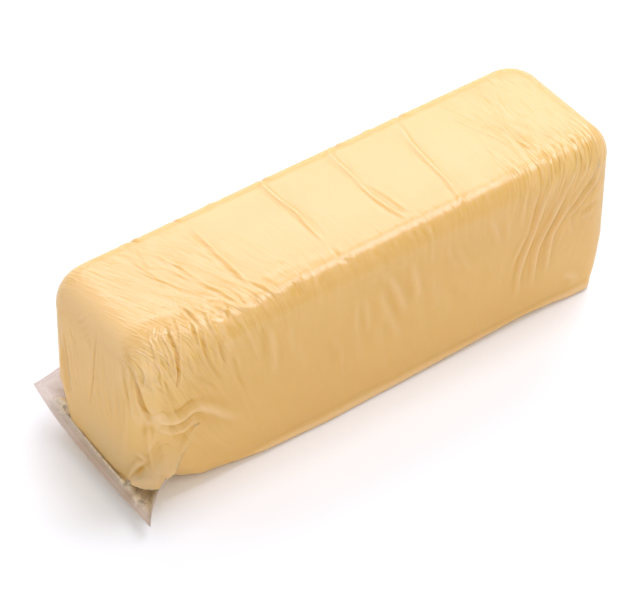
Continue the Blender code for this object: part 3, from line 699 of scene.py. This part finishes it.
def folded_skins():
    """The cheese's surface and the film's, and what both carry for their materials.

    The cheese is the plain skin with its corners pulled out, moved along its normals by its lip and folds.
    The film is the same, held just clear of the cheese. The painted shade and sheen is -tanh(height / its
    depth) of the folds: painted shade in creases and painted sheen on ridges, with painted light on the lip,
    painted sheen on the top edges of the ends, and more painted shade in the groove over the lip."""
    skin = soften_corner(pull_corner(pull_corner(plain_skin(), NEAR_FILLED, -1.0), FAR_FILLED, 1.0))
    shape = skin.shape
    normals = outward(skin).reshape(-1, 3)
    points = skin.reshape(-1, 3)
    raised = relief(points, normals, SHOWN_FOLDS + BACK_EDGE_NICKS + HIDDEN_FOLDS)
    raised += relief(points, normals, [f for group in FANS + HIDDEN_FANS for f in group])
    along_foot = lip(points, normals)
    # Painted shade where folds sink in and painted sheen where they rise, painted sheen on the ends' top
    # edges, painted light on the lip and painted shade in its groove.
    shade_and_sheen = np.tanh(-raised / SHADE_AND_SHEEN_DEPTH) - painted_end_edge_sheen(normals)
    shade_and_sheen += LIP_GROOVE_SHADE * np.clip(-along_foot, 0.0, 1.0) - LIP_PAINTED_LIGHT * np.clip(along_foot, 0.0, 1.0)
    raised = (raised + along_foot) * smooth_step(0.0, 1.5, points[:, 2])
    cheese = points + normals * raised[:, None]
    film = cheese + normals * (FILM_GAP * smooth_step(0.0, 2.0, points[:, 2]))[:, None]
    values = {"slack": slackness(points), "shade_and_sheen": shade_and_sheen, "gap_shade": gap_shade_share(points)}
    return cheese.reshape(shape), film.reshape(shape), drape_of(skin), values


def closed_mesh(name, skin, drape, values):
    """A mesh from the rows of a skin: quads between rows, a strip of quads along the middle of base and
    top, and one face at each end of a strip. Each point carries its place on the film and the named values:
    how slack the film is there, how much painted shade (up to 1) or painted sheen and light (down to -1) its
    curd gets, and how much painted shade and haze it gets as of a gap under the film."""
    rows, around = skin.shape[:2]
    half, far, sealed = around // 2, sum(FAR_CELLS), sum(SEALED_CELLS)
    grid = np.meshgrid(np.arange(rows - 1), np.arange(around), indexing="ij")
    row, column = (a.reshape(-1, 1) for a in grid)
    walls = np.hstack([row, row, row + 1, row + 1]), np.hstack([column, column + 1, column + 1, column])
    c = np.arange(far, half - sealed)
    strip = np.stack([c, c + 1, around - c - 1, around - c], axis=1)
    caps = [np.arange(-far, far + 1)[None] % around, half + np.arange(-sealed, sealed + 1)[None]]
    groups = [walls, (0, strip[:, ::-1]), (rows - 1, strip)]
    groups += [(0, cap[:, ::-1]) for cap in caps] + [(rows - 1, cap) for cap in caps]
    faces = []
    for r, k in groups:
        faces += (r * around + k % around).tolist()
    mesh = bpy.data.meshes.new(name)
    mesh.from_pydata((skin.reshape(-1, 3) * MM).tolist(), [], faces)
    mesh.update()
    kept = mesh.attributes.new("drape", "FLOAT_VECTOR", "POINT")
    kept.data.foreach_set("vector", drape.astype(np.float32).reshape(-1))
    for kept_name, value in values.items():
        keep_value(mesh, kept_name, value)
    mesh.shade_smooth()
    return new_object(name, mesh)


# ---------------------------------------------------------------- the sealed end of the bag
EAR_COLUMNS, SEAL_COLUMNS, FLANGE_ROWS = 110, 210, 46
HIDDEN_SHARE = 0.3  # the sheet starts this far from its root, still inside the cheese
EAR_INSIDE = (1.6, 1.6, 1.6, 1.4, 1.2, 0.7, 0.0, 0.0, 0.0, 0.0)  # how far the rim hides in the filled ear
BAG_FILM = 0.34
SAG = 0.8  # how far the sheet hangs down between root and rim
WAVE_LENGTHS = (3.1, 4.7, 7.3, 11.0)
ROLL_AT, ROLL_HEIGHT = 0.715, 1.9
# Lumps of soft curd caught in the tips: the tip, the way along the seal from it, the share of the way from
# root to rim, how far each reaches both ways, and its height.
MILKY_LUMPS = (
    ("far", 19.0, 0.60, 5.0, 0.15, 4.2), ("far", 13.0, 0.60, 3.5, 0.11, 3.0),
    ("far", 25.0, 0.66, 3.0, 0.06, 1.4), ("near", -13.5, 0.74, 3.6, 0.10, 1.8),
    ("near", -20.5, 0.58, 3.2, 0.11, 3.2), ("near", -8.5, 0.68, 3.0, 0.09, 2.0),
    ("near", -26.0, 0.70, 4.0, 0.06, 1.4), ("near", -4.0, 0.56, 6.0, 0.14, 1.2),
)


def bezier(ends, pulls, shares):
    """A curve from one end to the other that leaves each end towards its pull: the ends and pulls weighed by
    (1-t)^3, 3t(1-t)^2, 3t^2(1-t) and t^3."""
    t = shares[:, None]
    (start, finish), (first, second) = (np.asarray(ends, float), np.asarray(pulls, float))
    return start * (1 - t) ** 3 + 3 * first * t * (1 - t) ** 2 + 3 * second * t * t * (1 - t) + finish * t**3


def wander(place, across, seed):
    """Smooth irregular waves: sines along the seal whose phase drifts across it."""
    pick = np.random.default_rng(seed)
    total = 0.0
    for length in WAVE_LENGTHS:
        phase, drift, turn = pick.uniform(0.0, 6.3, 3)
        total = total + np.sin(place / length * 2.2 + phase + (3.0 + drift) * across + turn) * length**0.5
    return total / len(WAVE_LENGTHS)


def bag_end_sheet():
    """The sheet between a root hidden in the cheese and the free rim of the bag: straight lines from root
    to rim, sagging a little, with a rolled ridge where it leaves the cheese, waves that grow towards the two
    tips, and crumpled film over soft lumps in them. With it come its places across and along, and how milky
    it is."""
    ear = np.linspace(0.0, 1.0, EAR_COLUMNS + 1)
    seal = np.linspace(0.0, 1.0, SEAL_COLUMNS + 1)[1:-1]
    hidden = [(x + k, y + k, z) for (x, y, z), k in zip(EAR_EDGE, EAR_INSIDE)]
    near_rim = route(hidden + [SEAL_NEAR], EAR_COLUMNS + 1)
    rim = np.vstack([
        bezier((EAR_TOP, SEAL_FAR), (EAR_HIGH_PULL, EAR_LOW_PULL), ear),
        bezier((SEAL_FAR, SEAL_NEAR), SEAL_PULLS, seal),
        near_rim[::-1],
    ])
    corners = np.asarray(ROOT)
    root = np.vstack([a + (b - a) * t[:, None] for a, b, t in zip(corners, corners[1:], (ear, seal, ear))])
    across = np.linspace(HIDDEN_SHARE, 1.0, FLANGE_ROWS + 1)[:, None, None]
    sheet = root + (rim - root) * across
    place = np.concatenate([[0.0], np.cumsum(np.linalg.norm(np.diff(rim, axis=0), axis=1))])
    far_tip, near_tip = place[EAR_COLUMNS], place[EAR_COLUMNS + SEAL_COLUMNS]
    v = across[..., 0]
    inner = np.sin(np.clip((1.0 - v) / 0.35, 0.0, 1.0) * np.pi / 2) ** 2
    tips = bell(place, far_tip + 8, 14.0) + bell(place, near_tip - 9, 13.0)
    between = smooth_step(far_tip + 14, far_tip + 22, place)
    between = between * smooth_step(near_tip - 16, near_tip - 34, place)
    ripple = (0.30 + 0.9 * tips) * wander(place, v, 5) * inner + 0.25 * wander(place * 0.4, 0 * v, 6) * v**2
    roll = ROLL_HEIGHT * between * bell(v, ROLL_AT, 0.032)
    milk = 0.8 * between * bell(v, ROLL_AT, 0.03)
    for start, step, at, reach, spread, height in MILKY_LUMPS:
        tip = far_tip if start == "far" else near_tip
        lump = bell(place, tip + step, reach) * bell(v, at, spread)
        roll = roll + height * lump
        milk = np.maximum(milk, lump**0.5)
    sheet[..., 2] += ripple + roll - SAG * np.sin(v * np.pi)
    sheet[..., 0] -= 0.5 * (ripple + roll)
    return sheet, *(np.broadcast_to(kept, sheet.shape[:2]) for kept in (v, place / DRAPE_UNIT, milk))


def bag_end():
    """The bag end as a closed film a third of a millimetre thick, with its place along and across kept
    as a UV map and its milkiness as a value."""
    sheet, across, along, milk = bag_end_sheet()
    rows, columns = sheet.shape[:2]
    row, column = np.meshgrid(np.arange(rows - 1), np.arange(columns - 1), indexing="ij")
    here = row * columns + column
    quads = np.stack([here, here + 1, here + columns + 1, here + columns], axis=2).reshape(-1, 4)
    mesh = bpy.data.meshes.new("bag_end")
    mesh.from_pydata((sheet.reshape(-1, 3) * MM).tolist(), [], quads.tolist())
    flat = np.stack([along.reshape(-1), across.reshape(-1)], axis=1)[quads.reshape(-1)]
    mesh.uv_layers.new(name="place").data.foreach_set("uv", flat.astype(np.float32).reshape(-1))
    keep_value(mesh, "milk", milk)
    mesh.shade_smooth()
    made = new_object("bag_end", mesh)
    thick = made.modifiers.new("film", "SOLIDIFY")
    thick.thickness = BAG_FILM * MM
    thick.offset = 0.0
    return made


# ---------------------------------------------------------------- materials
class Shading:
    """A new material and its nodes, with a short call for each kind of node that is used here. A value is a
    number, a colour of red, green and blue, or another node's output."""

    def __init__(self, name):
        self.material = bpy.data.materials.new(name)
        self.material.use_nodes = True
        self.material.node_tree.nodes.clear()
        self.output = self.add("OutputMaterial")

    def add(self, kind, **values):
        """A shader node of that kind, with its inputs set or linked by name."""
        node = self.material.node_tree.nodes.new("ShaderNode" + kind)
        for name, value in values.items():
            self.put(value, node.inputs[name.replace("_", " ")])
        return node

    def put(self, value, socket):
        """A value put into a socket."""
        if isinstance(value, bpy.types.NodeSocket):
            self.material.node_tree.links.new(value, socket)
        elif socket.type == "RGBA":
            socket.default_value = (*value, 1.0)
        else:
            socket.default_value = value

    def noise(self, coordinates, scale, detail=3.0, roughness=0.5, stretch=(1, 1, 1), shift=(0, 0, 0)):
        """A noise texture on those coordinates, stretched and shifted."""
        mapping = self.add("Mapping", Vector=coordinates, Scale=stretch, Location=shift)
        texture = self.add("TexNoise", Vector=mapping.outputs["Vector"], Scale=scale, Detail=detail,
                           Roughness=roughness)
        return texture.outputs["Fac"]

    def ramp(self, value, *stops):
        """A colour ramp with those (place, colour) stops; a number stands for a grey."""
        node = self.add("ValToRGB", Fac=value)
        elements = node.color_ramp.elements
        while len(elements) < len(stops):
            elements.new(0.5)
        for element, (place, colour) in zip(elements, stops):
            element.position = place
            element.color = (*np.broadcast_to(colour, 3), 1.0)
        return node.outputs["Color"]

    def maths(self, operation, *values):
        """A Math node on one or two values."""
        node = self.add("Math")
        node.operation = operation
        for value, socket in zip(values, node.inputs):
            self.put(value, socket)
        return node.outputs["Value"]

    def plus(self, first, second):
        """Their sum."""
        return self.maths("ADD", first, second)

    def less(self, first, second):
        """The first less the second."""
        return self.maths("SUBTRACT", first, second)

    def times(self, first, second):
        """Their product."""
        return self.maths("MULTIPLY", first, second)

    def blend(self, share, first, colour):
        """A mix of a node's colour and a plain colour, by a share kept between 0 and 1."""
        node = self.add("Mix")
        node.data_type = "RGBA"
        node.clamp_factor = True
        for index, value in ((0, share), (6, first), (7, colour)):
            self.put(value, node.inputs[index])
        return node.outputs[2]

    def bump(self, height, strength, distance):
        """The normal of a surface with that relief."""
        return self.add("Bump", Height=height, Strength=strength, Distance=distance).outputs["Normal"]

    def kept(self, name, output="Fac"):
        """The value that each point of the mesh carries under that name."""
        node = self.add("Attribute")
        node.attribute_name = name
        return node.outputs[output]

    def place(self):
        """The place on the piece, in its object's coordinates."""
        return self.add("TexCoord").outputs["Object"]

    def finish(self, shader):
        """The material, with that shader as its surface."""
        self.put(shader, self.output.inputs["Surface"])
        return self.material

    def finish_clear(self, share, clear, body):
        """The material, see-through but for a share of the body shader."""
        mix = self.add("MixShader", Fac=share)
        self.put(clear.outputs["BSDF"], mix.inputs[1])
        self.put(body.outputs["BSDF"], mix.inputs[2])
        return self.finish(mix.outputs["Shader"])


def hair_lines(look, drape, spacing, length, seed, width):
    """Thin ridges along the film's drape: noise drawn out along it, and a ridge where it passes its
    middle value."""
    drawn_out = look.noise(drape, 1.0, 1.0, 0.5, (DRAPE_UNIT / spacing, DRAPE_UNIT / length, 1.0),
                           (seed, seed * 0.7, seed))
    off_middle = look.maths("ABSOLUTE", look.less(drawn_out, 0.5))
    return look.ramp(off_middle, (0.0, 1.0), (width * 0.45, 0.42), (width, 0.0))


def fine_wrinkles(look):
    """Two sets of hair lines where the film is slack: thin ridges, and thinner creases between them."""
    drape, slack = look.kept("drape", "Vector"), look.kept("slack")
    ridges = look.times(hair_lines(look, drape, 4.2, 52.0, 0.0, 0.07), slack)
    creases = look.times(hair_lines(look, drape, 3.1, 44.0, 3.7, 0.06), slack)
    return ridges, creases


def drawn_film_bump(look, ridges, creases, strength):
    """The film's own fine relief: hair lines over soft unevenness."""
    uneven = look.times(look.noise(look.place(), 60.0), 0.25)
    return look.bump(look.plus(look.less(ridges, creases), uneven), strength, 0.4 * MM)


CURD, PALER_CURD = (0.760, 0.442, 0.103), (0.780, 0.464, 0.114)
# The first is painted shade for creases and the lip's groove; the second is painted sheen for ridges and the
# ends' top edges and painted light for the lip.
PAINTED_SHADE_YELLOW, PAINTED_LIGHT_YELLOW, LOOSE_YELLOW = (0.68, 0.365, 0.042), (0.86, 0.565, 0.25), (0.88, 0.575, 0.185)
# Painted shade and haze as of a gap under the film, the second darker, for the pocket above the ear's tip.
GAP_SHADE_TAN, TIP_GAP_SHADE_TAN = (0.71, 0.475, 0.19), (0.56, 0.40, 0.18)


def cheese_material():
    """Pale yellow mozzarella: smooth curd with faint streaks along the loaf, paler where the film is loose,
    painted sheen under its ridges and painted shade in its creases, painted shade and haze in tan low at the
    sealed end and above the ear's tip, as of a gap under the film, and light that spreads a little under the
    surface."""
    look = Shading("mozzarella_curd")
    ridges, creases = fine_wrinkles(look)
    streaks = look.noise(look.place(), 26.0, 4.0, 0.55, stretch=(0.35, 1.0, 1.0))
    tone = look.ramp(streaks, (0.35, CURD), (0.65, PALER_CURD))
    tone = look.blend(look.times(look.less(look.kept("slack"), 0.3), 1.2), tone, LOOSE_YELLOW)
    # Painted shade and haze in tan, low at the sealed end, and darker just above the ear's tip.
    gap_shade = look.times(look.kept("gap_shade"), 2.0)
    tone = look.blend(gap_shade, tone, GAP_SHADE_TAN)
    tone = look.blend(look.less(gap_shade, 1.0), tone, TIP_GAP_SHADE_TAN)
    # Painted shade in creases (above 0) and painted sheen on ridges (below 0), from the folds and the hair
    # lines.
    shade_and_sheen = look.plus(look.kept("shade_and_sheen"), look.less(creases, ridges))
    tone = look.blend(look.maths("MAXIMUM", shade_and_sheen, 0.0), tone, PAINTED_SHADE_YELLOW)
    tone = look.blend(look.times(shade_and_sheen, -0.7), tone, PAINTED_LIGHT_YELLOW)
    curd = look.add(
        "BsdfPrincipled", Base_Color=tone, Roughness=0.55, Specular_IOR_Level=0.1, Subsurface_Weight=0.2,
        Subsurface_Radius=(1.0, 0.55, 0.25), Subsurface_Scale=2.0 * MM,
        Normal=drawn_film_bump(look, ridges, creases, 0.6))
    return look.finish(curd.outputs["BSDF"])


HEAD_ON_SHARE, GRAZING_SHARE = 0.085, 0.4


def film_material():
    """Clear shrink film: see-through, with a soft gloss and fine drawn-out wrinkles. The share of light that
    it reflects grows from HEAD_ON_SHARE to GRAZING_SHARE with the fifth power of one less the cosine of the
    viewing angle, the same from inside and outside."""
    look = Shading("clear_shrink_film")
    normal = drawn_film_bump(look, *fine_wrinkles(look), 0.8)
    facing = look.add("LayerWeight", Blend=0.5, Normal=normal).outputs["Facing"]
    grown = look.times(look.maths("POWER", facing, 5.0), GRAZING_SHARE - HEAD_ON_SHARE)
    share = look.plus(grown, HEAD_ON_SHARE)
    gloss = look.add("BsdfGlossy", Roughness=0.3, Normal=normal)
    return look.finish_clear(share, look.add("BsdfTransparent"), gloss)


# The last is painted shadow for the pockets between the lumps of curd in the tips.
CLEARER_TIP_PINK, MILK, POCKET_SHADE = (0.74, 0.61, 0.56), (0.84, 0.68, 0.46), (0.30, 0.23, 0.15)


def bag_end_material():
    """The doubled film of the bag end: greyer and less clear than the film on the cheese, milky over the
    lumps of curd that are caught in it, with painted shadow in the pockets between them, clearer and pinker
    at the far tip, and with a band welded along the rim."""
    look = Shading("doubled_film")
    uv = look.add("UVMap")
    uv.uv_map = "place"
    uv = uv.outputs["UV"]
    split = look.add("SeparateXYZ", Vector=uv)
    along, across = split.outputs["X"], split.outputs["Y"]
    haze = look.ramp(
        across, (0.50, 0.90), (0.66, 0.70), (0.80, 0.56), (0.86, 0.50), (0.885, 0.62), (1.00, 0.58))
    tint = look.ramp(
        across, (0.50, (0.76, 0.57, 0.30)), (0.70, (0.74, 0.60, 0.42)), (0.80, (0.76, 0.63, 0.53)),
        (1.00, (0.69, 0.57, 0.50)))
    clearer_far_tip = look.ramp(along, (0.60, 0.66), (0.76, 1.0))
    haze = look.times(haze, clearer_far_tip)
    tint = look.blend(look.times(look.less(1.0, clearer_far_tip), 2.2), tint, CLEARER_TIP_PINK)
    lumps = look.kept("milk")
    milk = look.times(lumps, look.times(look.noise(look.place(), 190.0, 2.0, 0.6), 1.7))
    haze = look.blend(milk, haze, (0.95, 0.95, 0.95))
    tint = look.blend(milk, tint, MILK)
    # Painted shadow in pockets between the milky lumps, in a noise pattern.
    pocket_shade_spots = look.ramp(look.noise(look.place(), 230.0, 2.0, 0.6), (0.40, 1.0), (0.47, 0.0))
    tint = look.blend(look.times(look.times(pocket_shade_spots, lumps), 0.8), tint, POCKET_SHADE)
    streaks = look.noise(uv, 1.0, 4.0, 0.6, stretch=(60.0, 9.0, 1.0))
    grain = look.times(look.noise(look.place(), 260.0, 3.0, 0.6), 0.4)
    body = look.add("BsdfPrincipled", Base_Color=tint, Roughness=0.3,
                    Normal=look.bump(look.plus(streaks, grain), 0.7, 0.5 * MM))
    return look.finish_clear(haze, look.add("BsdfTransparent", Color=(0.93, 0.90, 0.87)), body)


# ---------------------------------------------------------------- the pieces
cheese_skin, film_skin, drape, values = folded_skins()
cheese = closed_mesh("cheese_loaf", cheese_skin, drape, values)
cheese.data.materials.append(cheese_material())
film = closed_mesh("shrink_film", film_skin, drape, values)
film.data.materials.append(film_material())
sealed_end = bag_end()
sealed_end.data.materials.append(bag_end_material())

for piece in (cheese, film, sealed_end):
    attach(piece, "root")
    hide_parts("sealed_loaf")

# ---------------------------------------------------------------- floor, light and camera
FLOOR_REACH = 6.0
LIT_SPOT = (0.0, 0.0, 0.08)  # every softbox faces this place in the loaf
WHITE, COOL_WHITE = (1.0, 1.0, 1.0), (0.95, 0.98, 1.15)
# Name, place, width and height in metres, radiance and tint.
SOFTBOXES = (
    ("back softbox", (0.69, 1.0, 1.15), (1.6, 0.7), 4.5, COOL_WHITE),
    ("overhead softbox", (0.65, 0.0, 1.5), (0.65, 1.0), 5.7, COOL_WHITE),
    ("left softbox", (-0.55, 0.95, 1.25), (0.9, 0.7), 1.2, WHITE),
    ("low back left softbox", (-1.3, 0.9, 0.5), (1.4, 1.0), 0.9, WHITE),
    ("upper left softbox", (-1.0, -0.2, 1.3), (0.8, 0.8), 0.65, COOL_WHITE),
    ("front softbox", (0.0, -1.0, 1.25), (1.5, 0.9), 1.4, WHITE),
    ("low right fill", (0.75, -1.5, 0.58), (1.1, 1.0), 0.7, WHITE),
    ("low back softbox", (0.9, 1.5, 0.35), (2.0, 0.6), 2.0, WHITE),
    ("low left fill", (-1.1, -1.1, 0.75), (1.2, 1.0), 1.1, WHITE),
)
ROOM_LIGHT = 0.28


def plain_floor():
    """A pale square floor at z = 0, well past the loaf on every side."""
    mesh = bpy.data.meshes.new("floor")
    corners = [(x * FLOOR_REACH, y * FLOOR_REACH, 0.0) for x, y in ((-1, -1), (1, -1), (1, 1), (-1, 1))]
    mesh.from_pydata(corners, [], [(0, 1, 2, 3)])
    look = Shading("pale_floor")
    mesh.materials.append(look.finish(look.add("BsdfDiffuse", Color=(0.97, 0.97, 0.97)).outputs["BSDF"]))
    made = new_object("floor", mesh)


def soft_light(name, place, size, glow, tint):
    """A rectangular softbox at a place, facing the loaf, with that radiance and tint: its power is
    pi * radiance * area."""
    light = bpy.data.lights.new(name, "AREA")
    light.color = tint
    light.shape = "RECTANGLE"
    light.size, light.size_y = size
    light.energy = glow * np.pi * size[0] * size[1]
    made = new_object(name, light)
    made.location = place
    made.rotation_euler = (Vector(place) - Vector(LIT_SPOT)).to_track_quat("Z", "Y").to_euler()


def studio():
    """A white room of even light, the floor and the softboxes."""
    world = bpy.data.worlds.new("studio")
    bpy.context.scene.world = world
    world.use_nodes = True
    background = world.node_tree.nodes["Background"]
    background.inputs["Color"].default_value = (1.0, 1.0, 1.0, 1.0)
    background.inputs["Strength"].default_value = ROOM_LIGHT
    plain_floor()
    for box in SOFTBOXES:
        soft_light(*box)
    bpy.context.scene.view_settings.view_transform = "Standard"


AZIMUTH, ELEVATION, ROLL = (np.radians(a) for a in (-36.954, 42.339, 0.872))
DISTANCE, FOCAL_PIXELS = 1671.8, 3491.4
CENTRE_PIXEL = (337.2, 274.3)  # where the middle of the loaf falls in the 640 x 607 frame
FRAME_SIZE = (640.0, 607.0)
SENSOR = 36.0
FARTHEST_SEEN = 50.0  # metres


def camera():
    """A long lens at the viewing angle, aimed so that the loaf's middle falls at its place in the frame."""
    back = np.array([
        np.sin(AZIMUTH) * np.cos(ELEVATION), -np.cos(AZIMUTH) * np.cos(ELEVATION), np.sin(ELEVATION)
    ])
    level = np.cross(-back, (0.0, 0.0, 1.0))
    level /= np.linalg.norm(level)
    steep = np.cross(level, -back)
    right = np.cos(ROLL) * level + np.sin(ROLL) * steep
    up = np.cos(ROLL) * steep - np.sin(ROLL) * level
    aside, above = ((size / 2 - centre) / FOCAL_PIXELS for size, centre in zip(FRAME_SIZE, CENTRE_PIXEL))
    aim = -back + right * aside - up * above
    aim /= np.linalg.norm(aim)
    right = np.cross(aim, up)
    right /= np.linalg.norm(right)
    turned = np.eye(4)
    turned[:3, :3] = np.stack([right, np.cross(right, aim), -aim], axis=1)
    turned[:3, 3] = (back * DISTANCE + (0.0, 0.0, HEIGHT / 2)) * MM
    made = new_object("camera", bpy.data.cameras.new("camera"))
    made.data.sensor_width = SENSOR
    made.data.lens = FOCAL_PIXELS / FRAME_SIZE[0] * SENSOR
    made.data.clip_end = FARTHEST_SEEN
    made.matrix_world = Matrix(turned)
    bpy.context.scene.camera = made


studio()
camera()
